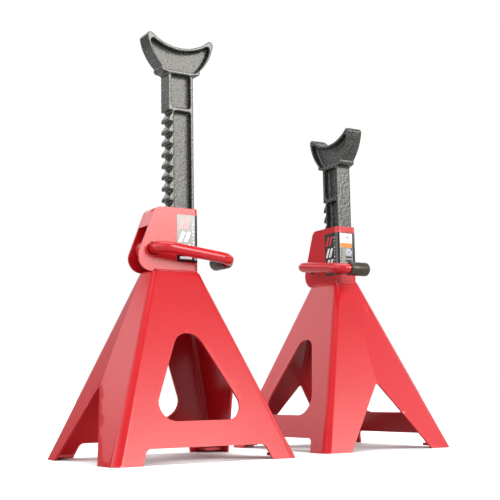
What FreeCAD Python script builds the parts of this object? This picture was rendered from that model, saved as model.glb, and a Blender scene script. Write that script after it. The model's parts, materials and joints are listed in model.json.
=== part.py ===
import FreeCAD, Part
import math
import os

# A pair of pin-and-pawl axle jack stands (6 ton class), one raised and one lower.
# Millimetres, +Z up, floor at Z = 0.  Each stand is modelled in its own frame:
#   +X  front, the label side        -X  back, the pawl side
#   -Y  side the handle runs along   +Y  plain side

V = FreeCAD.Vector

# ---- where the two stands are put ---------------------------------------------------
PAIR_OFFSET = (326.0, 55.0)            # from the raised stand's centre to the lower one's
LOWERED_TURN = -90.0                   # the lower stand is turned about +Z
NOTCHES_LOWER = 6                      # how many notches the second bar is let down

# ---- pyramid base --------------------------------------------------------------------
BASE_H = 256.0
FLOOR_HALF_X, FLOOR_HALF_Y = 134.0, 118.5
TOP_FRONT_X, TOP_BACK_X = 39.5, 33.0
TOP_HALF_Y = 22.5
FLOOR_RIDGE = 10.5                     # the side flanges lean out to a centre ridge
TOP_FRONT_RIDGE, TOP_BACK_RIDGE = 2.0, 7.5
SHEET = 3.2
WALL = 3.41                            # the sheet measured level, through the sloping wall
FLOOR_BEND_R, TOP_BEND_R = 12.0, 7.5   # the upright bends tighten going up
TOP_EDGE_R = 2.4

WINDOW_TOP_Z, WINDOW_SILL_Z = 169.0, 53.0
WINDOW_HALF = 36.5                     # lower corner centres
WINDOW_R = 23.0
RAIL_Z = 20.0                          # underside of the cross rail between the feet
FOOT_INNER_X = 94.5
FOOT_LEAN = 8.0
NOTCH_APEX_Z = 101.0
NOTCH_HALF = 75.0
FOOT_PLATE_Z = 3.0
FOOT_PLATE_T = 4.0

# ---- housing on top ------------------------------------------------------------------
HOUSE_SHEET = 3.0
HOUSE_HALF_Y = 18.2
HOUSE_FRONT = 39.4
HOUSE_TOP = 347.5
HOUSE_BEND_R = 6.0
BACK_LEAN = 0.386                      # the back edge leans out going down
BACK_FOOT_X = -62.9                    # where the back edge line meets the base top
BULGE_R, CROWN_R = 20.0, 12.0
BRIDGE_LOW_Z = 320.0

# ---- ratchet bar and saddle (heights given for the raised stand) ---------------------
CRADLE_Z = 584.0
BAR_FRONT, BAR_BACK = 36.0, -3.8
BAR_HALF_Y = 12.7
BAR_X = (BAR_FRONT + BAR_BACK) / 2.0
BAR_BOTTOM_Z = 205.0
PITCH = 16.5
FIRST_NOTCH_Z = 490.2
NOTCH_COUNT = 12
NOTCH_DEPTH = 6.0
ROOT_H, LAND_H = 3.0, 5.2              # upright root and flat tooth tip
WEB_HALF = 3.5
POCKET_FLOOR_R = 3.4
SADDLE_HALF_Y = 13.6
CRADLE_HALF, CRADLE_RISE = 46.5, 17.3
STOP_PIN_R, STOP_PIN_HALF = 4.0, 18.0
STOP_PIN_Z = 227.7

# ---- handle and pawl -----------------------------------------------------------------
PIVOT = V(-31.5, 0.0, 288.0)
ROD_R = 7.9
ROD_BORE_R = 7.98
ARM_SIDE_BORE_R = 9.2
ARM_Y = -44.5
ROD_BEND_R = 18.0
ARM_REACH = 112.1                      # pivot axis to the front cross piece
ARM_DROOP = 7.0
ROD_FAR_Y = 30.0
CROSS_END_Y = 3.5
GRIP_R, GRIP_START_Y, GRIP_END_Y = 10.7, -28.0, 8.0
PAWL_HALF_Y, PAWL_HUB_R = 13.5, 13.0
PAWL_RELEASE = 7.75                    # turn between nose under a tooth and nose clear
PAWL_NOSE = ((31.9, 32.2), (26.0, 24.0))


def rounded_points(corners, radii):
    """Edges of a closed outline in the XY plane with a fillet at each corner."""
    pts = [V(x, y, 0) for x, y in corners]
    count = len(pts)
    arcs = []
    for i in range(count):
        corner, r = pts[i], radii[i]
        to_prev = (pts[i - 1] - corner).normalize()
        to_next = (pts[(i + 1) % count] - corner).normalize()
        if r <= 0:
            arcs.append((corner, None, corner))
            continue
        half = to_prev.getAngle(to_next) / 2.0
        run = r / math.tan(half)
        bisector = (to_prev + to_next).normalize()
        centre = corner + bisector * (r / math.sin(half))
        arcs.append((corner + to_prev * run, centre - bisector * r, corner + to_next * run))
    edges = []
    for i in range(count):
        start, mid, end = arcs[i]
        if mid is not None:
            edges.append(Part.Arc(start, mid, end).toShape())
        following = arcs[(i + 1) % count][0]
        if (following - end).Length > 1e-6:
            edges.append(Part.LineSegment(end, following).toShape())
    return edges


def outline(corners, radii=None):
    radii = radii or [0] * len(corners)
    return Part.Wire(rounded_points(corners, radii))


def slab_y(corners, radii, y0, y1):
    """A profile drawn in X and Z, extruded along Y from y0 to y1."""
    face = Part.Face(outline(corners, radii))
    face.rotate(V(0, 0, 0), V(1, 0, 0), 90)
    solid = face.extrude(V(0, y1 - y0, 0))
    solid.translate(V(0, y0, 0))
    return solid


def slab_x(corners, radii, x0, x1):
    """A profile drawn in Y and Z, extruded along X from x0 to x1."""
    face = Part.Face(outline(corners, radii))
    face.rotate(V(0, 0, 0), V(1, 0, 0), 90)
    face.rotate(V(0, 0, 0), V(0, 0, 1), 90)
    solid = face.extrude(V(x1 - x0, 0, 0))
    solid.translate(V(x0, 0, 0))
    return solid


def slab_z(corners, radii, z0, z1):
    solid = Part.Face(outline(corners, radii)).extrude(V(0, 0, z1 - z0))
    solid.translate(V(0, 0, z0))
    return solid


def box(x0, x1, y0, y1, z0, z1):
    return Part.makeBox(x1 - x0, y1 - y0, z1 - z0, V(x0, y0, z0))


def cylinder_y(radius, y0, y1, x=0.0, z=0.0):
    return Part.makeCylinder(radius, y1 - y0, V(x, y0, z), V(0, 1, 0))


def mirrored(shape):
    """The same piece for the other side of the stand (Y to -Y)."""
    return shape.mirror(V(0, 0, 0), V(0, 1, 0))


def as_solid(shape):
    """One clean solid from the result of a boolean."""
    return shape.removeSplitter().Solids[0]


# ---- pyramid base --------------------------------------------------------------------
def at_height(z, floor, top):
    """A size that changes evenly from the floor to the top of the base."""
    return floor + (top - floor) * z / BASE_H


def flange(z, top_x, top_ridge):
    """Where a side flange is at a height: its corner with the panel, and its ridge."""
    corner_x = at_height(z, FLOOR_HALF_X, top_x)
    return corner_x, corner_x + at_height(z, FLOOR_RIDGE, top_ridge)


def half_section(z, inset):
    """Level section through the -Y half: panel, two bends, flanges to the ridge."""
    half_y = at_height(z, FLOOR_HALF_Y, TOP_HALF_Y)
    side_y = half_y - inset
    front_x, front_ridge = flange(z, TOP_FRONT_X, TOP_FRONT_RIDGE)
    back_x, back_ridge = flange(z, TOP_BACK_X, TOP_BACK_RIDGE)
    front_side = front_ridge - inset - (front_ridge - front_x) * side_y / half_y
    back_side = back_ridge - inset - (back_ridge - back_x) * side_y / half_y
    corners = [(front_ridge - inset, 0), (inset - back_ridge, 0),
               (-back_side, -side_y), (front_side, -side_y)]
    radius = at_height(z, FLOOR_BEND_R, TOP_BEND_R) - inset
    wire = outline(corners, [0, 0, radius, radius])
    wire.translate(V(0, 0, z))
    return wire


def half_pyramid(inset, z0, z1):
    return Part.makeLoft([half_section(z0, inset), half_section(z1, inset)], True, True)


def panel_angle():
    return math.degrees(math.atan((FLOOR_HALF_Y - TOP_HALF_Y) / BASE_H))


def window_cutter():
    """Rounded triangle punched square through the sloping -Y panel."""
    stretch = 1.0 / math.cos(math.radians(panel_angle()))
    low = WINDOW_SILL_Z * stretch + WINDOW_R
    high = WINDOW_TOP_Z * stretch - WINDOW_R
    circles = [(0, high), (-WINDOW_HALF, low), (WINDOW_HALF, low)]
    lean = math.atan2(WINDOW_HALF, high - low)
    left = (-math.cos(lean), math.sin(lean))
    right = (math.cos(lean), math.sin(lean))

    def on_circle(i, direction):
        cx, cy = circles[i]
        return V(cx + direction[0] * WINDOW_R, cy + direction[1] * WINDOW_R, 0)

    diagonal = math.radians(45) - lean / 2.0
    low_left = (-math.cos(diagonal), -math.sin(diagonal))
    low_right = (math.cos(diagonal), -math.sin(diagonal))
    edges = [
        Part.Arc(on_circle(0, left), on_circle(0, (0, 1)), on_circle(0, right)).toShape(),
        Part.LineSegment(on_circle(0, right), on_circle(2, right)).toShape(),
        Part.Arc(on_circle(2, right), on_circle(2, low_right), on_circle(2, (0, -1))).toShape(),
        Part.LineSegment(on_circle(2, (0, -1)), on_circle(1, (0, -1))).toShape(),
        Part.Arc(on_circle(1, (0, -1)), on_circle(1, low_left), on_circle(1, left)).toShape(),
        Part.LineSegment(on_circle(1, left), on_circle(0, left)).toShape(),
    ]
    solid = Part.Face(Part.Wire(edges)).extrude(V(0, 0, 16))
    solid.translate(V(0, 0, -8))
    solid.rotate(V(0, 0, 0), V(1, 0, 0), 90 - panel_angle())
    solid.translate(V(0, -FLOOR_HALF_Y, 0))
    return solid


def bar_passage():
    """The slot in the closed top that the bar passes down through."""
    return box(-14.0, HOUSE_FRONT - HOUSE_SHEET, -HOUSE_HALF_Y + HOUSE_SHEET,
               HOUSE_HALF_Y - HOUSE_SHEET, BASE_H - 8, BASE_H + 2)


def base_shell():
    """The -Y stamping: panel, bends, half of each side flange, turned-in top."""
    outer = half_pyramid(0.0, 0.0, BASE_H)
    top_edges = []
    for edge in outer.Edges:
        centre = edge.CenterOfMass
        if abs(centre.z - BASE_H) < 1e-4 and centre.y < -0.5:
            top_edges.append(edge)
    outer = outer.makeFillet(TOP_EDGE_R, top_edges)
    inner = half_pyramid(WALL, -4.0, BASE_H - SHEET)
    shell = outer.cut(inner)
    rail = slab_y([(-FOOT_INNER_X, -5), (FOOT_INNER_X, -5), (FOOT_INNER_X, 0),
                   (FOOT_INNER_X - FOOT_LEAN, RAIL_Z), (-FOOT_INNER_X + FOOT_LEAN, RAIL_Z),
                   (-FOOT_INNER_X, 0)],
                  [0, 0, 0, 9, 9, 0], -145, -60)
    side_notch = slab_x([(-NOTCH_HALF, 0), (-NOTCH_HALF, -5), (NOTCH_HALF, -5),
                         (NOTCH_HALF, 0), (0, NOTCH_APEX_Z)],
                        [0, 0, 0, 0, 5], -160, 160)
    shell = shell.cut(window_cutter()).cut(rail).cut(side_notch).cut(bar_passage())
    return as_solid(shell)


def foot_plates():
    """Four small level plates welded inside the corner feet, just above the floor."""
    plates = []
    z0, z1 = FOOT_PLATE_Z, FOOT_PLATE_Z + FOOT_PLATE_T
    room = half_pyramid(WALL, z0, z1)
    for sign in (-1, 1):
        corner = slab_z([(sign * 105, -85), (sign * 150, -85), (sign * 150, -125),
                         (sign * 105, -125)], [0, 0, 0, 0], z0, z1)
        plate = as_solid(room.common(corner))
        plates.append(plate)
        plates.append(mirrored(plate))
    return Part.makeCompound(plates)


def seam_welds():
    """Two inside fillet welds that join the shells down the ridges."""
    beads = []
    low, high = NOTCH_APEX_Z + 6.0, BASE_H - 16.0
    leg = 5.0
    for sign, top_x, top_ridge in ((1, TOP_FRONT_X, TOP_FRONT_RIDGE),
                                   (-1, TOP_BACK_X, TOP_BACK_RIDGE)):
        sections = []
        for z in (low, high):
            corner_x, ridge_x = flange(z, top_x, top_ridge)
            x = ridge_x - WALL
            drop = (ridge_x - corner_x) * leg / at_height(z, FLOOR_HALF_Y, TOP_HALF_Y)
            tri = [V(sign * x, 0, z), V(sign * (x - drop), -leg, z),
                   V(sign * (x - leg * 0.7), 0, z), V(sign * (x - drop), leg, z)]
            sections.append(Part.makePolygon(tri + [tri[0]]))
        beads.append(Part.makeLoft(sections, True, True))
    return Part.makeCompound(beads)


def guide_plate():
    """Forked plate under the closed top; it steadies the bar and stops its pin."""
    z1 = BASE_H - SHEET
    plate = slab_z([(-29, -19.8), (36, -19.8), (36, 19.8), (-29, 19.8)], [8, 8, 8, 8],
                   z1 - 4.0, z1)
    slot = box(BAR_BACK - 0.6, 60, -BAR_HALF_Y - 0.5, BAR_HALF_Y + 0.5, z1 - 6, z1 + 2)
    return as_solid(plate.cut(slot))


# ---- housing -------------------------------------------------------------------------
def cheek_corners(inset=0.0):
    """Side outline of the housing; inset moves the back edge and the top inwards."""
    slant = math.sqrt(1.0 + BACK_LEAN ** 2)
    foot_x = BACK_FOOT_X + inset * slant
    top = HOUSE_TOP - inset
    crown_x = foot_x + (top - BASE_H) * BACK_LEAN
    return [(HOUSE_FRONT, BASE_H), (HOUSE_FRONT, top), (crown_x, top), (foot_x, BASE_H)]


def u_channel(inset, radius, z0, z1):
    front, half = HOUSE_FRONT - inset, HOUSE_HALF_Y - inset
    return slab_z([(-90, -half), (front, -half), (front, half), (-90, half)],
                  [0, radius, radius, 0], z0, z1)


def housing():
    """Bent sheet: front plate and two cheeks that bulge out over the back of the base."""
    channel = u_channel(0, HOUSE_BEND_R, BASE_H, HOUSE_TOP)
    hollow = u_channel(HOUSE_SHEET, HOUSE_BEND_R - HOUSE_SHEET, BASE_H - 5, HOUSE_TOP + 5)
    side = slab_y(cheek_corners(), [0, 0, CROWN_R, BULGE_R], -30, 30)
    bore = cylinder_y(ROD_BORE_R, -40, 40, PIVOT.x, PIVOT.z)
    arm_side_bore = cylinder_y(ARM_SIDE_BORE_R, -40, 0, PIVOT.x, PIVOT.z)
    return as_solid(channel.cut(hollow).common(side).cut(bore).cut(arm_side_bore))


def bridge_plate():
    """Plate between the cheeks that closes the top of the back, above the pawl window."""
    half = HOUSE_HALF_Y - HOUSE_SHEET
    full = slab_y(cheek_corners(), [0, 0, CROWN_R, BULGE_R], -half, half)
    core = slab_y(cheek_corners(HOUSE_SHEET), [0, 0, CROWN_R - HOUSE_SHEET, BULGE_R],
                  -half - 5, half + 5)
    kept = box(-60, -22.5, -40, 40, BRIDGE_LOW_Z, HOUSE_TOP + 5)
    plate = as_solid(full.cut(core).common(kept))
    low = [e for e in plate.Edges
           if abs(abs(e.CenterOfMass.y) - half) < 1e-3 and e.CenterOfMass.z < BRIDGE_LOW_Z + 0.1]
    return as_solid(plate.makeFillet(2.0, low))


def housing_weld():
    """Fillet bead round the outside of the housing where it stands on the base."""
    leg = 2.6
    rise = 2.6
    bead = None
    steps = 4
    for i in range(steps):
        z0 = BASE_H + rise * i / steps
        z1 = BASE_H + rise * (i + 1) / steps
        reach = leg * math.cos(math.pi / 2 * (i + 0.5) / steps)
        layer = u_channel(-reach, HOUSE_BEND_R + reach, z0, z1)
        bead = layer if bead is None else bead.fuse(layer)
    bead = bead.cut(u_channel(0, HOUSE_BEND_R, BASE_H - 5, HOUSE_TOP))
    kept = box(-27.0, HOUSE_FRONT - 3.0, -40, 40, BASE_H - 1, BASE_H + 10)
    both = bead.common(kept)
    return Part.makeCompound([as_solid(s) for s in both.Solids])


# ---- ratchet bar ---------------------------------------------------------------------
def bar_outline():
    """Side outline of the plain bar, notches cut in its back edge, with corner radii."""
    corners = [(BAR_FRONT, BAR_BOTTOM_Z), (BAR_FRONT, CRADLE_Z - 30),
               (BAR_BACK, CRADLE_Z - 30)]
    radii = [0, 0, 0]
    root_x = BAR_BACK + NOTCH_DEPTH
    for k in range(NOTCH_COUNT):
        z = FIRST_NOTCH_Z - k * PITCH
        corners += [(BAR_BACK, z), (root_x, z), (root_x, z - ROOT_H),
                    (BAR_BACK, z - PITCH + LAND_H)]
        radii += [0.7, 1.2, 2.0, 1.5]
    corners.append((BAR_BACK, BAR_BOTTOM_Z))
    radii.append(0)
    return corners, radii


def saddle_face():
    """Crescent saddle: cradle arc on top, bevelled horns, rounded underside, lugs."""
    def at(x, z):
        return V(BAR_X + x, 0, CRADLE_Z + z)

    def line(a, b):
        return Part.LineSegment(a, b).toShape()

    left_tip, right_tip = at(-CRADLE_HALF, CRADLE_RISE), at(CRADLE_HALF, CRADLE_RISE)
    edges = [Part.Arc(left_tip, at(0, 0), right_tip).toShape()]
    right = [right_tip, at(50.6, 17.0), at(53.5, 13.0)]
    for a, b in zip(right[:-1], right[1:]):
        edges.append(line(a, b))
    edges.append(Part.Arc(right[-1], at(47.0, -8.5), at(31.0, -30.0)).toShape())
    lug = [at(31.0, -30.0), at(31.5, -33.5), at(29.5, -37.0), at(18.25, -39.5),
           at(-18.25, -39.5), at(-29.5, -37.0), at(-31.5, -33.5), at(-31.0, -30.0)]
    for a, b in zip(lug[:-1], lug[1:]):
        edges.append(line(a, b))
    edges.append(Part.Arc(lug[-1], at(-47.0, -8.5), at(-53.5, 13.0)).toShape())
    edges.append(line(at(-53.5, 13.0), at(-50.6, 17.0)))
    edges.append(line(at(-50.6, 17.0), left_tip))
    return Part.Face(Part.Wire(edges))


def crescent_pocket():
    """Outline of the pocket sunk in the saddle, leaving rims a few millimetres wide."""
    def at(x, z):
        return V(BAR_X + x, 0, CRADLE_Z + z)

    upper = Part.Arc(at(-49.5, 13.5), at(0, -4.2), at(49.5, 13.5)).toShape()
    right = Part.Arc(at(49.5, 13.5), at(43.4, -9.0), at(24.5, -34.5)).toShape()
    floor = Part.LineSegment(at(24.5, -34.5), at(-24.5, -34.5)).toShape()
    left = Part.Arc(at(-24.5, -34.5), at(-43.4, -9.0), at(-49.5, 13.5)).toShape()
    return Part.Face(Part.Wire([upper, right, floor, left]))


def cross_edges(solid, z_low, z_high):
    """The edges of a pocket cutter that run straight in along Y, between two heights."""
    found = []
    for edge in solid.Edges:
        first, last = edge.Vertexes[0].Point, edge.Vertexes[-1].Point
        if abs(first.y - last.y) > 1.0 and z_low < first.z < z_high:
            found.append(edge)
    return found


def crescent_cutter(y0, y1):
    """The crescent pocket as a solid with rounded ends and heels."""
    solid = crescent_pocket().extrude(V(0, y1 - y0, 0))
    solid.translate(V(0, y0, 0))
    solid = solid.makeFillet(4.2, cross_edges(solid, CRADLE_Z, CRADLE_Z + 30))
    return solid.makeFillet(9.0, cross_edges(solid, CRADLE_Z - 40, CRADLE_Z - 30))


def sunk(solid, floor_y):
    """Rounds the edges of a pocket cutter where it meets the pocket's floor."""
    edges = [e for e in solid.Edges if all(abs(v.Point.y - floor_y) < 1e-4 for v in e.Vertexes)]
    return solid.makeFillet(POCKET_FLOOR_R, edges)


def ratchet_bar():
    corners, radii = bar_outline()
    body = slab_y(corners, radii, -BAR_HALF_Y, BAR_HALF_Y)
    saddle = saddle_face().extrude(V(0, 2 * SADDLE_HALF_Y, 0))
    saddle.translate(V(0, -SADDLE_HALF_Y, 0))
    body = body.fuse(saddle)
    neck_low, neck_high = FIRST_NOTCH_Z + 4.8, CRADLE_Z - 39.7
    neck = [(BAR_BACK + 4.6, neck_low), (BAR_FRONT - 4.4, neck_low),
            (BAR_FRONT - 4.4, neck_high), (BAR_BACK + 4.6, neck_high)]
    long_low, long_high = BAR_BOTTOM_Z + 45.0, FIRST_NOTCH_Z - 0.2
    long_pocket = [(BAR_BACK + 8.6, long_low), (BAR_FRONT - 4.4, long_low),
                   (BAR_FRONT - 4.4, long_high), (BAR_BACK + 8.6, long_high)]
    near_y, far_y = -SADDLE_HALF_Y - 5, SADDLE_HALF_Y + 5
    for y0, y1, floor_y in ((near_y, -WEB_HALF, -WEB_HALF), (WEB_HALF, far_y, WEB_HALF)):
        for blank in (slab_y(neck, [8, 4, 4, 4], y0, y1),
                      slab_y(long_pocket, [4, 4, 4, 4], y0, y1), crescent_cutter(y0, y1)):
            body = body.cut(sunk(blank, floor_y))
    body = body.cut(cylinder_y(STOP_PIN_R, -30, 30, BAR_X, STOP_PIN_Z))
    return as_solid(body)


def stop_pin():
    pin = cylinder_y(STOP_PIN_R, -STOP_PIN_HALF, STOP_PIN_HALF, BAR_X, STOP_PIN_Z)
    return pin.makeChamfer(0.8, [e for e in pin.Edges if e.Curve.TypeId == "Part::GeomCircle"])


# ---- handle and pawl -----------------------------------------------------------------
def pawl():
    """Hub round the rod with a nose that reaches up and forward to the teeth."""
    turn = math.radians(PAWL_RELEASE)

    def placed(point):
        x, z = point
        return (PIVOT.x + x * math.cos(turn) - z * math.sin(turn),
                PIVOT.z + x * math.sin(turn) + z * math.cos(turn))

    nose = [placed(p) for p in PAWL_NOSE]
    back = [placed((12.0, -6.0)), placed((-9.0, 9.0)), placed((22.0, 31.2))]
    corners = nose + back
    arm = slab_y(corners, [1.0, 3, 0, 0, 2.5], -PAWL_HALF_Y, PAWL_HALF_Y)
    hub = cylinder_y(PAWL_HUB_R, -PAWL_HALF_Y, PAWL_HALF_Y, PIVOT.x, PIVOT.z)
    bore = cylinder_y(ROD_R, -30, 30, PIVOT.x, PIVOT.z)
    return as_solid(arm.fuse(hub).cut(bore).cut(pawl_pin_blank(0.0)))


def pawl_pin_blank(bore):
    """Roll pin that fixes the pawl to the rod, driven straight up through the hub."""
    pin = Part.makeCylinder(3.0, 2 * PAWL_HUB_R - 1.0,
                            V(PIVOT.x, 0, PIVOT.z - PAWL_HUB_R + 0.5), V(0, 0, 1))
    if bore > 0:
        hole = Part.makeCylinder(bore, 60, V(PIVOT.x, 0, PIVOT.z - 30), V(0, 0, 1))
        pin = pin.cut(hole)
    return pin


def retaining_pin_blank(bore):
    """Roll pin across the far end of the rod, outside the washer."""
    reach = 12.0
    pin = Part.makeCylinder(2.0, 2 * reach, V(PIVOT.x, ROD_FAR_Y - 5.0, PIVOT.z - reach),
                            V(0, 0, 1))
    if bore > 0:
        hole = Part.makeCylinder(bore, 60, V(PIVOT.x, ROD_FAR_Y - 5.0, PIVOT.z - 30),
                                 V(0, 0, 1))
        pin = pin.cut(hole)
    return pin


def retaining_washer():
    y0 = HOUSE_HALF_Y + 0.4
    disc = cylinder_y(13.0, y0, y0 + 2.5, PIVOT.x, PIVOT.z)
    return disc.cut(cylinder_y(ROD_R, 0, 60, PIVOT.x, PIVOT.z))


def handle_rod():
    """Round rod: far end, through both cheeks, elbow, arm, front bend, cross piece."""
    r = ROD_BEND_R
    k = r * (1.0 - math.sqrt(0.5))
    reach = ARM_REACH
    far, elbow_start = V(0, ROD_FAR_Y, 0), V(0, ARM_Y + r, 0)
    elbow_mid, elbow_end = V(k, ARM_Y + k, 0), V(r, ARM_Y, 0)
    front_start, front_mid = V(reach - r, ARM_Y, 0), V(reach - k, ARM_Y + k, 0)
    front_end, tip = V(reach, ARM_Y + r, 0), V(reach, CROSS_END_Y, 0)
    path = Part.Wire([
        Part.LineSegment(far, elbow_start).toShape(),
        Part.Arc(elbow_start, elbow_mid, elbow_end).toShape(),
        Part.LineSegment(elbow_end, front_start).toShape(),
        Part.Arc(front_start, front_mid, front_end).toShape(),
        Part.LineSegment(front_end, tip).toShape(),
    ])
    circle = Part.Wire(Part.makeCircle(ROD_R, far, V(0, 1, 0)))
    rod = path.makePipeShell([circle], True, False)
    rod = Part.Solid(rod) if rod.ShapeType != "Solid" else rod
    ends = [e for e in rod.Edges if e.Curve.TypeId == "Part::GeomCircle"
            and abs(e.Curve.Radius - ROD_R) < 1e-3 and
            min(abs(e.CenterOfMass.y - ROD_FAR_Y), abs(e.CenterOfMass.y - CROSS_END_Y)) < 1e-3]
    rod = rod.makeChamfer(1.0, ends)
    rod.rotate(V(0, 0, 0), V(0, 1, 0), ARM_DROOP)
    rod.translate(PIVOT)
    return as_solid(rod.cut(pawl_pin_blank(0.0)).cut(retaining_pin_blank(0.0)))


def handle_grip():
    """Moulded cap pushed over the end of the cross piece."""
    sleeve = cylinder_y(GRIP_R, GRIP_START_Y, GRIP_END_Y, ARM_REACH, 0)
    ends = [e for e in sleeve.Edges if e.Curve.TypeId == "Part::GeomCircle"]
    sleeve = sleeve.makeFillet(1.6, ends)
    sleeve = sleeve.cut(cylinder_y(ROD_R, GRIP_START_Y - 5, CROSS_END_Y, ARM_REACH, 0))
    sleeve.rotate(V(0, 0, 0), V(0, 1, 0), ARM_DROOP)
    sleeve.translate(PIVOT)
    return as_solid(sleeve)


# ---- label ---------------------------------------------------------------------------
def label():
    """Thin sticker wrapped from the handle-side cheek round onto the front plate."""
    film = 0.2
    outer = u_channel(-film, HOUSE_BEND_R + film, 270.5, 338.0)
    inner = u_channel(0, HOUSE_BEND_R, 260, 345)
    kept = box(5.0, 60, -40, 15.5, 250, 345)
    side_only = box(5.0, 36.0, 0, 40, 250, 345)
    return as_solid(outer.cut(inner).common(kept).cut(side_only))


def stand_pieces():
    """Every piece of one stand in its own frame, keyed by name."""
    shell = base_shell()
    return {
        "base_shell_handle_side": shell,
        "base_shell_plain_side": mirrored(shell),
        "foot_plates": foot_plates(),
        "seam_welds": seam_welds(),
        "guide_plate": guide_plate(),
        "housing": housing(),
        "bridge_plate": bridge_plate(),
        "housing_welds": housing_weld(),
        "label": label(),
        "ratchet_bar": ratchet_bar(),
        "bar_stop_pin": stop_pin(),
        "pawl": pawl(),
        "pawl_roll_pin": pawl_pin_blank(1.6),
        "handle_rod": handle_rod(),
        "handle_grip": handle_grip(),
        "rod_washer": retaining_washer(),
        "rod_roll_pin": retaining_pin_blank(1.1),
    }


BAR_PIECES = ("ratchet_bar", "bar_stop_pin")


def place_stand(pieces, prefix, where, bar_drop):
    x, y, turn = where
    for name, shape in pieces.items():
        placed = shape.copy()
        if name in BAR_PIECES:
            placed.translate(V(0, 0, -bar_drop))
        placed.rotate(V(0, 0, 0), V(0, 0, 1), turn)
        placed.translate(V(x, y, 0))
        placed.exportStep("parts/%s_%s.step" % (prefix, name))


def pair_places():
    """Stand positions that put the pair's bounding box centre on the origin.

    The widest points are the feet: the ends of the side flanges along a stand's own X,
    and the panels along its own Y.
    """
    foot_x = FLOOR_HALF_X + FLOOR_RIDGE * (1.0 - NOTCH_HALF / FLOOR_HALF_Y)
    foot_y = FLOOR_HALF_Y
    dx, dy = PAIR_OFFSET
    x = (foot_x - foot_y - dx) / 2.0
    y = (foot_y - foot_x - dy) / 2.0
    return (x, y, 0.0), (x + dx, y + dy, LOWERED_TURN)


os.makedirs("parts", exist_ok=True)
stand = stand_pieces()
raised_at, lowered_at = pair_places()
place_stand(stand, "raised", raised_at, 0.0)
place_stand(stand, "lowered", lowered_at, NOTCHES_LOWER * PITCH)
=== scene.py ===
import json
import math

import bmesh
import bpy
from mathutils import Matrix, Vector, noise


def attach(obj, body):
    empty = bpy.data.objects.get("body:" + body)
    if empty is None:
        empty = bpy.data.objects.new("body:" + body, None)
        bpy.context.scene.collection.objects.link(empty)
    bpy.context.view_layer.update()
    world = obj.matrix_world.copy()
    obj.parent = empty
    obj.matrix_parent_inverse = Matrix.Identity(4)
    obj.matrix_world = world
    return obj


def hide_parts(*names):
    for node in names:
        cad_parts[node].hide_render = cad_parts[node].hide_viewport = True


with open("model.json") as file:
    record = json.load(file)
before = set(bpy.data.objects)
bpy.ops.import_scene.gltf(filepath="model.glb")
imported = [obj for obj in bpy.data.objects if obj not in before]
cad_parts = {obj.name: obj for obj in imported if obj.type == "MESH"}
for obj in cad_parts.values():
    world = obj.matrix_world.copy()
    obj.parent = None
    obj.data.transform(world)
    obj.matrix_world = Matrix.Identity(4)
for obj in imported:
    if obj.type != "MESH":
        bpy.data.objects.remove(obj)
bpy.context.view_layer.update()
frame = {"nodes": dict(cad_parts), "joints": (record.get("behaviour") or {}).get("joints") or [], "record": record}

NODES = frame["nodes"]
STANDS = ("raised", "lowered")

# ---- the two stand frames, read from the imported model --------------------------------
# In a stand's own frame (mm) z is up from the floor, +x is the label side, -x the pawl side
# and -y the side of the handle's arm; the origin is on the bar's centre line.
MM = 0.001
HINGE_X, HINGE_Z = -31.5, 288.0
STAND_TURN = {"raised": 0.0, "lowered": math.radians(-90.0)}
HINGES = {joint["name"]: Vector(joint["pos_m"]) for joint in frame["joints"]
          if joint["name"].endswith("_handle_hinge")}


def stand_matrix(name):
    """From a stand's own frame, in metres, to the frame of the pair, by its handle hinge."""
    rot = Matrix.Rotation(STAND_TURN[name], 4, "Z")
    offset = HINGES[name + "_handle_hinge"] - rot @ Vector((HINGE_X * MM, 0.0, HINGE_Z * MM))
    return Matrix.Translation(offset) @ rot


PLACE = {name: stand_matrix(name) for name in STANDS}


def placed(name, verts):
    """Points of a stand's own frame, in mm, as points of the pair."""
    return [PLACE[name] @ (vert * MM) for vert in verts]


# ---- material helpers ----------------------------------------------------------------
def new_material(name):
    mat = bpy.data.materials.new(name)
    mat.use_nodes = True
    tree = mat.node_tree
    tree.nodes.clear()
    out = tree.nodes.new("ShaderNodeOutputMaterial")
    shader = tree.nodes.new("ShaderNodeBsdfPrincipled")
    tree.links.new(shader.outputs["BSDF"], out.inputs["Surface"])
    return mat, tree, shader


def tex_coord(tree):
    return tree.nodes.new("ShaderNodeTexCoord").outputs["Object"]


def noise_node(tree, scale, detail=4.0, roughness=0.55, vector=None):
    node = tree.nodes.new("ShaderNodeTexNoise")
    node.inputs["Scale"].default_value = scale
    node.inputs["Detail"].default_value = detail
    node.inputs["Roughness"].default_value = roughness
    tree.links.new(vector or tex_coord(tree), node.inputs["Vector"])
    return node.outputs["Fac"]


def with_alpha(color):
    return tuple(color) + (1.0,)


def ramp(tree, fac, stops):
    """Colours along fac; stops are (position, colour)."""
    node = tree.nodes.new("ShaderNodeValToRGB")
    elements = node.color_ramp.elements
    while len(elements) < len(stops):
        elements.new(0.5)
    for element, (position, color) in zip(elements, stops):
        element.position = position
        element.color = with_alpha(color)
    tree.links.new(fac, node.inputs["Fac"])
    return node.outputs["Color"]


def value_ramp(tree, fac, lo, hi, start=0.0, end=1.0):
    """From lo to hi as fac goes from start to end, held at both ends."""
    node = tree.nodes.new("ShaderNodeMapRange")
    node.inputs["From Min"].default_value = start
    node.inputs["From Max"].default_value = end
    node.inputs["To Min"].default_value = lo
    node.inputs["To Max"].default_value = hi
    tree.links.new(fac, node.inputs["Value"])
    return node.outputs["Result"]


def mix_color(tree, fac, a, b):
    """From a to b by fac; a and b are colours or outputs."""
    node = tree.nodes.new("ShaderNodeMix")
    node.data_type = "RGBA"
    tree.links.new(fac, node.inputs["Factor"])
    for socket, value in ((node.inputs["A"], a), (node.inputs["B"], b)):
        if isinstance(value, tuple):
            socket.default_value = with_alpha(value)
        else:
            tree.links.new(value, socket)
    return node.outputs["Result"]


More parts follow.
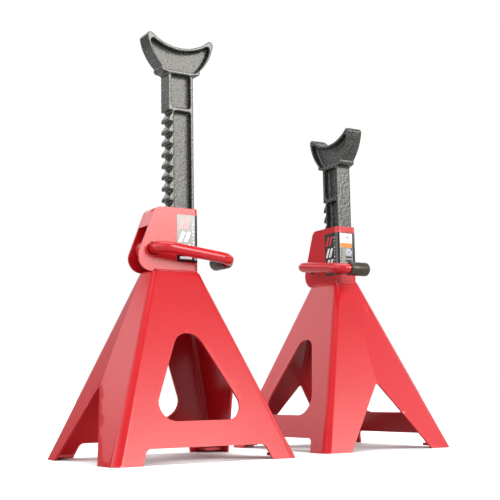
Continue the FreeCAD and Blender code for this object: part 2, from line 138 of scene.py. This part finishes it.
def math_node(tree, op, a, b=0.0):
    node = tree.nodes.new("ShaderNodeMath")
    node.operation = op
    for socket, value in zip(node.inputs, (a, b)):
        if isinstance(value, (int, float)):
            socket.default_value = value
        else:
            tree.links.new(value, socket)
    return node.outputs[0]


def edge_mask(tree, lo, hi):
    """0 to 1 as the mesh's own pointiness goes from lo to hi.

    Above 0.5 it marks outer edges; with hi below lo, under 0.5, it marks inner corners.
    """
    geo = tree.nodes.new("ShaderNodeNewGeometry")
    return value_ramp(tree, geo.outputs["Pointiness"], 0.0, 1.0, lo, hi)


def painted_shade_mask(tree, reach, low, high, own_mesh_only=False):
    """Where painted shade goes: 1 in gaps, where under low of the surroundings within reach (m) is open; 0 over
    high.

    A piece that slides past others looks at its own mesh only, so no painted shade is left on it.
    """
    node = tree.nodes.new("ShaderNodeAmbientOcclusion")
    node.samples = 6
    node.only_local = own_mesh_only
    node.inputs["Distance"].default_value = reach
    return value_ramp(tree, node.outputs["AO"], 1.0, 0.0, low, high)


def bump(tree, shader, layers):
    """A chain of bumps; layers are (height output, strength, distance)."""
    normal = None
    for height, strength, distance in layers:
        node = tree.nodes.new("ShaderNodeBump")
        node.inputs["Strength"].default_value = strength
        node.inputs["Distance"].default_value = distance
        tree.links.new(height, node.inputs["Height"])
        if normal is not None:
            tree.links.new(normal, node.inputs["Normal"])
        normal = node.outputs["Normal"]
    tree.links.new(normal, shader.inputs["Normal"])


# ---- materials -----------------------------------------------------------------------
def red_powder_coat():
    """Gloss red powder coat: faint orange peel, slight colour drift, a painted highlight on outer edges and
    painted shade in inner corners and gaps.
    """
    red_low, red_high = (0.480, 0.0030, 0.0080), (0.520, 0.0038, 0.0100)
    red_speck, red_painted_highlight = (0.40, 0.002, 0.006), (0.60, 0.060, 0.060)
    red_painted_shade = (0.16, 0.001, 0.003)
    mat, tree, shader = new_material("red_powder_coat")
    drift = noise_node(tree, 11.0, 3.0)
    body = ramp(tree, drift, [(0.3, red_low), (0.7, red_high)])
    speck = value_ramp(tree, noise_node(tree, 900.0, 2.0), 0.0, 0.10, 0.56, 0.70)
    flecked = mix_color(tree, speck, body, red_speck)
    # painted highlight: outer edges mixed towards a lighter pinkish red
    edges = math_node(tree, "MULTIPLY", edge_mask(tree, 0.515, 0.57), 0.30)
    thin = mix_color(tree, edges, flecked, red_painted_highlight)
    # painted shade: inner corners and gaps against other parts mixed towards a deep red
    corners = math_node(tree, "MULTIPLY", edge_mask(tree, 0.485, 0.44), 0.75)
    gaps = math_node(tree, "MULTIPLY", painted_shade_mask(tree, 4.5 * MM, 0.20, 0.62), 0.85)
    shaded = math_node(tree, "MAXIMUM", corners, gaps)
    deep = mix_color(tree, shaded, thin, red_painted_shade)
    tree.links.new(deep, shader.inputs["Base Color"])
    haze = noise_node(tree, 55.0, 5.0)
    tree.links.new(value_ramp(tree, haze, 0.225, 0.250, 0.3, 0.7), shader.inputs["Roughness"])
    shader.inputs["Specular IOR Level"].default_value = 0.5
    shader.inputs["Coat Weight"].default_value = 0.15
    shader.inputs["Coat Roughness"].default_value = 0.14
    peel = noise_node(tree, 330.0, 2.0, 0.4)
    fine = noise_node(tree, 1400.0, 2.0, 0.5)
    bump(tree, shader, [(peel, 0.10, 0.0008), (fine, 0.06, 0.0002)])
    return mat


def cast_iron():
    """Sand-cast iron under thin black paint: grainy, pitted, grey where it rubs, with painted shade in the bar's
    own gaps.

    The rims are dressed and smoother; the recess attribute marks the raw pocket floors.
    """
    dark, mid, light = (0.003, 0.003, 0.003), (0.016, 0.016, 0.013), (0.125, 0.130, 0.101)
    bare = (0.13, 0.127, 0.115)
    mat, tree, shader = new_material("cast_iron_bar")
    grain = noise_node(tree, 400.0, 5.0, 0.75)
    blotch = noise_node(tree, 38.0, 4.0)
    base = ramp(tree, grain, [(0.38, dark), (0.50, mid), (0.62, light)])
    toned = mix_color(tree, value_ramp(tree, blotch, 0.0, 0.45, 0.40, 0.75), base, dark)
    rubbed = math_node(tree, "MULTIPLY", edge_mask(tree, 0.56, 0.72), 0.45)
    worn = mix_color(tree, rubbed, toned, bare)
    # painted shade: the bar's own gaps and recesses mixed towards the darkest iron tone
    gaps = math_node(tree, "MULTIPLY", painted_shade_mask(tree, 6.0 * MM, 0.15, 0.70, True), 0.85)
    tree.links.new(mix_color(tree, gaps, worn, dark), shader.inputs["Base Color"])
    shader.inputs["Specular IOR Level"].default_value = 0.8
    recess = tree.nodes.new("ShaderNodeAttribute")
    recess.attribute_name = "recess"
    raw = recess.outputs["Fac"]
    rough = math_node(tree, "ADD", value_ramp(tree, grain, 0.20, 0.34, 0.3, 0.7),
                      value_ramp(tree, raw, 0.0, 0.05))
    tree.links.new(rough, shader.inputs["Roughness"])
    relief = math_node(tree, "MULTIPLY", grain, value_ramp(tree, raw, 0.35, 0.85))
    pits = noise_node(tree, 1500.0, 3.0, 0.6)
    bump(tree, shader, [(relief, 0.50, 0.0008), (pits, 0.12, 0.0002)])
    return mat


def zinc_steel():
    """Bright zinc on small turned parts, faintly streaked."""
    mat, tree, shader = new_material("zinc_steel")
    streak = noise_node(tree, 300.0, 3.0)
    tree.links.new(ramp(tree, streak, [(0.3, (0.42, 0.43, 0.44)), (0.7, (0.58, 0.58, 0.57))]),
                   shader.inputs["Base Color"])
    shader.inputs["Metallic"].default_value = 1.0
    tree.links.new(value_ramp(tree, streak, 0.28, 0.45), shader.inputs["Roughness"])
    bump(tree, shader, [(streak, 0.15, 0.0003)])
    return mat


def grip_rubber():
    """Moulded dark rubber with a satin skin and a little dust in the grain."""
    mat, tree, shader = new_material("grip_rubber")
    mottled = noise_node(tree, 140.0, 4.0)
    tone = ramp(tree, mottled, [(0.3, (0.026, 0.020, 0.012)), (0.7, (0.044, 0.034, 0.020))])
    rubbed = math_node(tree, "MULTIPLY", edge_mask(tree, 0.52, 0.60), 0.35)
    tree.links.new(mix_color(tree, rubbed, tone, (0.08, 0.072, 0.060)),
                   shader.inputs["Base Color"])
    tree.links.new(value_ramp(tree, mottled, 0.30, 0.40, 0.3, 0.7), shader.inputs["Roughness"])
    bump(tree, shader, [(noise_node(tree, 1100.0, 2.0), 0.15, 0.0004)])
    return mat


def film(name, color):
    """Printed film: slight ink mottle under a glossy laminate."""
    mat, tree, shader = new_material(name)
    ink = noise_node(tree, 260.0, 3.0)
    thin_ink = tuple(channel * 0.90 for channel in color)
    tree.links.new(ramp(tree, ink, [(0.35, thin_ink), (0.65, color)]),
                   shader.inputs["Base Color"])
    tree.links.new(value_ramp(tree, ink, 0.12, 0.18, 0.3, 0.7), shader.inputs["Roughness"])
    shader.inputs["Specular IOR Level"].default_value = 0.75
    shader.inputs["Coat Weight"].default_value = 0.8
    shader.inputs["Coat Roughness"].default_value = 0.06
    bump(tree, shader, [(ink, 0.05, 0.0002)])
    return mat


RED = red_powder_coat()
CAST = cast_iron()
STEEL = zinc_steel()
GRIP = grip_rubber()
FILMS = {"black": film("film_black", (0.010, 0.011, 0.012)),
         "white": film("film_white", (0.86, 0.86, 0.86)),
         "red": film("film_red", (0.62, 0.020, 0.030)),
         "orange": film("film_orange", (0.72, 0.24, 0.02)),
         "grey": film("film_grey", (0.30, 0.30, 0.27)),
         "steel": film("film_steel_blue", (0.36, 0.37, 0.44))}

BY_SLOT = {"red_paint": RED, "red_paint_rod": RED, "cast_bar": CAST, "cast_pawl": RED,
           "steel_pin": STEEL, "grip_rubber": GRIP, "label_film": FILMS["black"]}

for part in frame["record"]["subparts"]:
    node = NODES[part["node"]]
    node.data.materials.clear()
    node.data.materials.append(BY_SLOT[part["material_slot"]])


# ---- sheet metal: the punched and cut edges are softened by the paint ------------------
def soften(node, width):
    join = node.modifiers.new("join", "WELD")
    join.merge_threshold = 0.01 * MM
    bevel = node.modifiers.new("paint_edge", "BEVEL")
    bevel.width = width
    bevel.segments = 2
    bevel.limit_method = "ANGLE"
    bevel.angle_limit = math.radians(40)
    bevel.harden_normals = True


# ---- mesh helpers ----------------------------------------------------------------------
def new_object(name, mesh):
    obj = bpy.data.objects.new(name, mesh)
    bpy.context.scene.collection.objects.link(obj)
    return obj


def mesh_from(name, verts, faces, smooth=True):
    mesh = bpy.data.meshes.new(name)
    mesh.from_pydata(verts, [], faces)
    mesh.validate()
    for poly in mesh.polygons:
        poly.use_smooth = smooth
    return mesh


def bake_modifiers(obj):
    """Replaces an object's mesh by the result of its modifiers."""
    depsgraph = bpy.context.evaluated_depsgraph_get()
    result = bpy.data.meshes.new_from_object(obj.evaluated_get(depsgraph))
    obj.modifiers.clear()
    obj.data = result


# ---- ratchet bars: a sand casting, every edge rounded and the skin uneven ---------------
LUMP_OFFSET = {"raised": Vector((3.1, 1.7, 0.4)), "lowered": Vector((0.3, 5.2, 2.2))}
POCKET_HALF = 4.8 * MM     # the pocket floors lie within this of the bar's mid plane


def cast_bar(name):
    node_name = name + "_ratchet_bar"
    obj = new_object(name + "_bar_casting", NODES[node_name].data.copy())
    remesh = obj.modifiers.new("skin", "REMESH")
    remesh.mode = "VOXEL"
    remesh.voxel_size = 0.9 * MM
    remesh.use_smooth_shade = True
    soft = obj.modifiers.new("soft", "SMOOTH")
    soft.factor = 0.5
    soft.iterations = 3
    bake_modifiers(obj)
    mesh = obj.data
    # all read before any is written, because each read after a write works out every normal
    places = [vert.co.copy() for vert in mesh.vertices]
    outward = [vert.normal.copy() for vert in mesh.vertices]
    moved = []
    for place, normal in zip(places, outward):
        spot = place + LUMP_OFFSET[name]
        lump = noise.noise(spot * 260.0) * 0.00012 + noise.noise(spot * 900.0) * 0.00010
        moved += tuple(place + normal * lump)
    mesh.vertices.foreach_set("co", moved)
    mesh.update()
    back = PLACE[name].inverted()
    turn = back.to_3x3()
    recess = mesh.attributes.new("recess", "FLOAT", "POINT")
    floors = [abs((back @ place).y) < POCKET_HALF and abs((turn @ normal).y) > 0.7
              for place, normal in zip(places, outward)]
    recess.data.foreach_set("value", [float(floor) for floor in floors])
    mesh.materials.clear()
    mesh.materials.append(CAST)
    for poly in mesh.polygons:
        poly.use_smooth = True
    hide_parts(node_name)
    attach(obj, name + "_bar")


# ---- label: printed film wrapped round the corner of the housing ------------------------
HALF_Y, FRONT_X, BEND = 18.2, 39.4, 6.0      # the housing's outside: half width, front, corner
CHEEK_START = 5.0                            # x where the film starts on the cheek
CHEEK_RUN = FRONT_X - BEND - CHEEK_START
ARC_RUN = math.pi / 2 * (BEND + 0.2)
FRONT_START = CHEEK_RUN + ARC_RUN
FILM_LOW, FILM_HIGH = 270.5, 338.0
BACKING = 0.02                               # gap between the steel and the film's underside
FILM, INK, INK_2, INK_3 = 0.20, 0.22, 0.24, 0.26     # heights of the film and of each print on it


def wrapped(s, z, lift):
    """A point of the film in the stand's frame: s runs from the cheek to the front."""
    if s <= CHEEK_RUN:
        return Vector((CHEEK_START + s, -HALF_Y - lift, z))
    if s >= FRONT_START:
        return Vector((FRONT_X + lift, -HALF_Y + BEND + s - FRONT_START, z))
    turn = (s - CHEEK_RUN) / ARC_RUN * math.pi / 2
    reach = BEND + lift
    return Vector((FRONT_X - BEND + reach * math.sin(turn),
                   -HALF_Y + BEND - reach * math.cos(turn), z))


def wrap_cuts(s0, s1):
    """Where a patch from s0 to s1 is cut to follow the corner."""
    steps, least = 12, 0.01
    corner = [CHEEK_RUN + ARC_RUN * i / steps for i in range(steps + 1)]
    return [s0] + [s for s in corner if s0 + least < s < s1 - least] + [s1]


def front_s(y):
    """s of a point at y on the housing's front."""
    return FRONT_START + y + HALF_Y - BEND


FILM_END = front_s(15.5)


def strip(s0, s1, z0, z1, lift, top_shift=0.0):
    """A patch of film as a thin closed solid: vertices and faces."""
    verts, faces = [], []
    cuts = wrap_cuts(s0, s1)
    for s in cuts:
        for z, shift in ((z0, 0.0), (z1, top_shift)):
            verts += [wrapped(s + shift, z, BACKING), wrapped(s + shift, z, lift)]
    for i in range(len(cuts) - 1):
        a, b = i * 4, i * 4 + 4
        faces += [(a + 1, b + 1, b + 3, a + 3), (a, a + 2, b + 2, b),
                  (a, b, b + 1, a + 1), (a + 2, a + 3, b + 3, b + 2)]
    last = (len(cuts) - 1) * 4
    faces += [(0, 1, 3, 2), (last, last + 2, last + 3, last + 1)]
    return verts, faces


def disc(s, z, outer, inner, lift, count=28):
    """A printed ring as a thin closed solid; a very small inner radius makes a dot."""
    verts, faces = [], []
    rows = ((outer, BACKING), (outer, lift), (inner, lift), (inner, BACKING))
    for radius, height in rows:
        for i in range(count):
            turn = 2 * math.pi * i / count
            verts.append(wrapped(s + radius * math.cos(turn), z + radius * math.sin(turn), height))
    for row in range(len(rows)):
        a, b = row * count, (row + 1) % len(rows) * count
        for i in range(count):
            j = (i + 1) % count
            faces.append((a + i, a + j, b + j, b + i))
    return verts, faces


def label_patches():
    """Plain generic print, as (ink, patch): stripes, bands, a ring and dots, no lettering."""
    patches = [("black", strip(0.0, FILM_END, FILM_LOW, FILM_HIGH, FILM))]
    # on the cheek: three pairs of slanted stripes, a row of dashes, a band and a ring
    for z0, z1, ink in ((318.0, 333.0, "red"), (299.5, 314.0, "white"), (281.5, 296.0, "white")):
        for start in (2.0, 2.0 + 8.6):
            patches.append((ink, strip(start, start + 5.4, z0, z1, INK, 6.2)))
    for k in range(9):
        z = 288.0 + k * 5.1
        patches.append(("white", strip(25.0, 26.0 + 0.5 * (k % 3), z, z + 2.4, INK)))
    patches.append(("white", strip(4.5, 23.5, 275.0, 278.6, INK)))
    patches.append(("white", disc(29.8, 276.5, 2.6, 1.3, INK)))
    # on the front: white, orange and grey fields
    lo, hi = front_s(-13.4), front_s(10.4)
    for ink, z0, z1 in (("white", 321.0, 336.6), ("orange", 313.8, 321.0),
                        ("grey", 274.0, 313.8)):
        patches.append((ink, strip(lo, hi, z0, z1, INK)))
    for y0, y1, z0, z1 in ((-0.8, 3.4, 329.6, 330.6), (-0.2, 0.9, 326.6, 333.6),
                           (1.7, 2.8, 326.6, 333.6), (-3.2, 5.6, 323.6, 324.6)):
        patches.append(("steel", strip(front_s(y0), front_s(y1), z0, z1, INK_2)))
    for k in range(5):
        z = 291.0 + k * 4.6
        patches.append(("black", strip(front_s(-12.4), front_s(-10.6 + 0.4 * (k % 2)),
                                       z, z + 2.9, INK_2)))
    patches.append(("steel", disc(front_s(3.2), 306.6, 6.4, 0.01, INK_2)))
    patches.append(("white", disc(front_s(3.2), 306.6, 4.6, 3.8, INK_3)))
    for y0, y1, z0, z1, lift in ((-3.0, 9.2, 297.2, 299.8, INK_2),
                                 (-3.6, 9.0, 291.4, 294.2, INK_2),
                                 (4.0, 9.8, 309.8, 313.0, 0.23)):
        patches.append(("black", strip(front_s(y0), front_s(y1), z0, z1, lift)))
    return patches


def label_piece(name):
    verts, faces, inks = [], [], []
    order = list(FILMS)
    for ink, (patch_verts, patch_faces) in label_patches():
        base = len(verts)
        verts += placed(name, patch_verts)
        faces += [tuple(base + i for i in face) for face in patch_faces]
        inks += [order.index(ink)] * len(patch_faces)
    mesh = bpy.data.meshes.new(name + "_label_print")
    mesh.from_pydata(verts, [], faces)
    for ink in order:
        mesh.materials.append(FILMS[ink])
    for poly, ink in zip(mesh.polygons, inks):
        poly.material_index = ink
    obj = new_object(name + "_label_print", mesh)
    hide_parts(name + "_label")
    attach(obj, name + "_frame")


# ---- weld beads: rippled along, a blob where each run starts and stops ------------------
BASE_TOP = 256.0


def bead(side):
    """Quarter-round bead along one cheek's foot; side is -1 or +1 in the stand's Y."""
    leg, start, end, gap = 4.2, -31.5, 36.4, 0.02
    around, step = 9, 0.35
    verts, faces = [], []
    count = int((end - start) / step)
    for i in range(count + 1):
        x = start + (end - start) * i / count
        from_end = min(x - start, end - x)
        taper = math.sqrt(max(0.0, 1.0 - (1.0 - min(from_end / 1.8, 1.0)) ** 2))
        blob = 0.45 * math.exp(-((from_end - 2.2) / 1.6) ** 2)
        ripple = 0.13 * abs(math.sin(math.pi * x / 1.9)) - 0.10
        wander = 0.12 * noise.noise(Vector((x * 0.25, side * 5.0, 0.5)))
        radius = max(0.05, (leg - 0.25 + blob + ripple + wander) * taper)
        for k in range(around):
            turn = math.pi / 2 * k / (around - 1)
            verts.append(Vector((x, side * (HALF_Y + gap + radius * math.cos(turn)),
                                 BASE_TOP + gap + 0.8 * radius * math.sin(turn))))
        verts.append(Vector((x, side * (HALF_Y + gap), BASE_TOP + gap)))
    ring = around + 1
    for i in range(count):
        for k in range(ring):
            a, b = i * ring + k, i * ring + (k + 1) % ring
            faces.append((a, b, b + ring, a + ring))
    faces += [tuple(range(ring)), tuple(reversed(range(count * ring, (count + 1) * ring)))]
    return verts, faces


def weld_piece(name):
    verts, faces = [], []
    for side in (-1, 1):
        bead_verts, bead_faces = bead(side)
        base = len(verts)
        verts += placed(name, bead_verts)
        faces += [tuple(base + i for i in face) for face in bead_faces]
    obj = new_object(name + "_weld_beads", mesh_from(name + "_weld_beads", verts, faces))
    clean = bmesh.new()
    clean.from_mesh(obj.data)
    bmesh.ops.recalc_face_normals(clean, faces=clean.faces)
    clean.to_mesh(obj.data)
    clean.free()
    obj.data.materials.append(RED)
    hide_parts(name + "_housing_welds")
    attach(obj, name + "_frame")


# ---- grip: a moulded cap turned about the cross piece of the handle ---------------------
HANDLE_REACH, HANDLE_DROOP = 112.1, math.radians(7.0)


def grip_piece(name):
    """Lathe profile (along Y, radius): inside, lip with a bead, straight wall, round end."""
    centre = Vector((HINGE_X + HANDLE_REACH * math.cos(HANDLE_DROOP), 0.0,
                     HINGE_Z - HANDLE_REACH * math.sin(HANDLE_DROOP)))
    profile = [(3.6, 3.0), (3.6, 7.95), (-27.4, 7.95), (-27.9, 8.3), (-28.0, 8.9), (-28.0, 9.8),
               (-27.7, 10.4), (-27.0, 10.7), (-25.4, 10.7), (-25.0, 10.45), (-24.2, 10.45),
               (-23.8, 10.6), (-12.0, 10.6), (3.0, 10.65), (4.9, 10.3), (6.2, 9.3),
               (6.9, 7.9), (7.1, 6.2), (7.0, 3.0)]
    count = 64
    verts, faces = [], []
    for y, radius in profile:
        for i in range(count):
            turn = 2 * math.pi * i / count
            verts.append(centre + Vector((radius * math.cos(turn), y, radius * math.sin(turn))))
    for row in range(len(profile) - 1):
        for i in range(count):
            j = (i + 1) % count
            a, b = row * count, (row + 1) * count
            faces.append((a + i, a + j, b + j, b + i))
    last = (len(profile) - 1) * count
    faces += [tuple(reversed(range(count))), tuple(range(last, last + count))]
    grip_mesh = mesh_from(name + "_grip_cap", placed(name, verts), faces)
    obj = new_object(name + "_grip_cap", grip_mesh)
    obj.data.materials.append(GRIP)
    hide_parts(name + "_handle_grip")
    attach(obj, name + "_handle")


for name in STANDS:
    for shell in ("_base_shell_handle_side", "_base_shell_plain_side", "_housing"):
        soften(NODES[name + shell], 0.5 * MM)
    soften(NODES[name + "_bridge_plate"], 0.4 * MM)
    cast_bar(name)
    label_piece(name)
    weld_piece(name)
    grip_piece(name)


# ---- camera, floor and light ---------------------------------------------------------
def add_camera():
    """Low and some way off, looking slightly up, at the height of the feet's flanges."""
    location = PLACE["raised"] @ (Vector((-648.72, -1288.18, 87.6)) * MM)
    heading = Vector((0.5201, 0.8541, 0.0)).normalized()
    tilt_up, roll = 0.138, -0.017
    forward = heading * math.cos(tilt_up) + Vector((0, 0, 1)) * math.sin(tilt_up)
    right = heading.cross(Vector((0, 0, 1))).normalized()
    up = right.cross(forward).normalized()
    rolled_right = right * math.cos(roll) + up * math.sin(roll)
    rolled_up = up * math.cos(roll) - right * math.sin(roll)
    data = bpy.data.cameras.new("camera")
    data.sensor_width = 36.0
    data.lens = 73.97
    data.clip_start, data.clip_end = 0.01, 50.0
    cam = bpy.data.objects.new("camera", data)
    basis = Matrix((rolled_right, rolled_up, -forward)).transposed().to_4x4()
    cam.matrix_world = Matrix.Translation(location) @ basis
    bpy.context.scene.collection.objects.link(cam)
    bpy.context.scene.camera = cam


def add_floor():
    """Pale to the camera; it bounces as a mid grey, so the undersides stay deep."""
    half = 12.0
    corners = [(-half, -half, 0), (half, -half, 0), (half, half, 0), (-half, half, 0)]
    floor = new_object("floor", mesh_from("floor", corners, [(0, 1, 2, 3)], smooth=False))
    floor.location.z = -0.2 * MM
    mat, tree, shader = new_material("pale_floor")
    rays = tree.nodes.new("ShaderNodeLightPath")
    tone = mix_color(tree, rays.outputs["Is Camera Ray"], (0.45, 0.45, 0.45), (0.95, 0.95, 0.95))
    tree.links.new(tone, shader.inputs["Base Color"])
    shader.inputs["Roughness"].default_value = 0.8
    shader.inputs["Specular IOR Level"].default_value = 0.1
    floor.data.materials.append(mat)


def smooth_step(tree, value, start, end, low=0.0, high=1.0):
    """From low to high, with soft ends, as value goes from start to end."""
    node = tree.nodes.new("ShaderNodeMapRange")
    node.interpolation_type = "SMOOTHSTEP"
    node.inputs["From Min"].default_value = start
    node.inputs["From Max"].default_value = end
    node.inputs["To Min"].default_value = low
    node.inputs["To Max"].default_value = high
    tree.links.new(value, node.inputs["Value"])
    return node.outputs["Result"]


def softbox(tree, axes, toward, half_deg, soft_deg, heights, power):
    """A soft window of light in one compass direction, between two heights.

    heights: nothing below the first, full from the second to the third, none above the
    fourth, each the sine of the elevation.
    """
    x, y, z = axes
    length = math_node(tree, "SQRT", math_node(tree, "ADD", math_node(tree, "MULTIPLY", x, x),
                                               math_node(tree, "MULTIPLY", y, y)))
    along = math_node(tree, "ADD", math_node(tree, "MULTIPLY", x, toward[0]),
                      math_node(tree, "MULTIPLY", y, toward[1]))
    facing = math_node(tree, "DIVIDE", along, math_node(tree, "MAXIMUM", length, 0.001))
    outer = math.cos(math.radians(half_deg + soft_deg))
    inner = math.cos(math.radians(half_deg))
    across = smooth_step(tree, facing, outer, inner)
    low = smooth_step(tree, z, heights[0], heights[1])
    high = smooth_step(tree, z, heights[2], heights[3], 1.0, 0.0)
    up = math_node(tree, "MULTIPLY", low, high)
    return math_node(tree, "MULTIPLY", math_node(tree, "MULTIPLY", across, up), power)


def compass(degrees_from_front):
    """Unit direction on the floor, 0 along -Y and growing towards +X."""
    turn = math.radians(degrees_from_front)
    return math.sin(turn), -math.cos(turn)


def add_world():
    """Soft walls, a window front right with a bright core, a weak one left, a panel above.

    Straight to the camera the world is plain white.
    """
    world = bpy.data.worlds.new("world")
    bpy.context.scene.world = world
    world.use_nodes = True
    tree = world.node_tree
    background = tree.nodes["Background"]
    split = tree.nodes.new("ShaderNodeSeparateXYZ")
    tree.links.new(tree.nodes.new("ShaderNodeTexCoord").outputs["Generated"],
                   split.inputs["Vector"])
    axes = [split.outputs[k] for k in ("X", "Y", "Z")]
    walls = math_node(tree, "MULTIPLY", smooth_step(tree, axes[2], 0.22, 0.40, 0.28, 1.65),
                      smooth_step(tree, axes[2], 0.46, 0.62, 1.0, 0.22))
    window = softbox(tree, axes, toward=compass(18.0), half_deg=17.0, soft_deg=5.0,
                     heights=(0.13, 0.21, 0.50, 0.63), power=8.0)
    core = softbox(tree, axes, toward=compass(24.5), half_deg=5.0, soft_deg=2.5,
                   heights=(0.0, 0.05, 0.34, 0.42), power=5.0)
    left = softbox(tree, axes, toward=compass(-92.0), half_deg=22.0, soft_deg=28.0,
                   heights=(-0.10, 0.15, 0.55, 0.85), power=1.4)
    panel = smooth_step(tree, axes[2], 0.84, 0.95, 0.0, 3.6)
    to_camera = tree.nodes.new("ShaderNodeLightPath").outputs["Is Camera Ray"]
    unseen = math_node(tree, "SUBTRACT", 1.0, to_camera)
    around = math_node(tree, "ADD", math_node(tree, "ADD", walls, left), panel)
    cool = math_node(tree, "MULTIPLY", around, unseen)
    warm = math_node(tree, "MULTIPLY", math_node(tree, "ADD", window, core), unseen)
    layers = [(background, (1, 1, 1, 1), to_camera),
              (tree.nodes.new("ShaderNodeBackground"), (0.96, 0.98, 1.0, 1), cool),
              (tree.nodes.new("ShaderNodeBackground"), (1.0, 0.955, 0.90, 1), warm)]
    light = None
    for layer, color, strength in layers:
        layer.inputs["Color"].default_value = color
        tree.links.new(strength, layer.inputs["Strength"])
        if light is None:
            light = layer.outputs["Background"]
            continue
        joined = tree.nodes.new("ShaderNodeAddShader")
        tree.links.new(light, joined.inputs[0])
        tree.links.new(layer.outputs["Background"], joined.inputs[1])
        light = joined.outputs["Shader"]
    tree.links.new(light, tree.nodes["World Output"].inputs["Surface"])


add_camera()
add_floor()
add_world()
bpy.context.scene.view_settings.view_transform = "Standard"
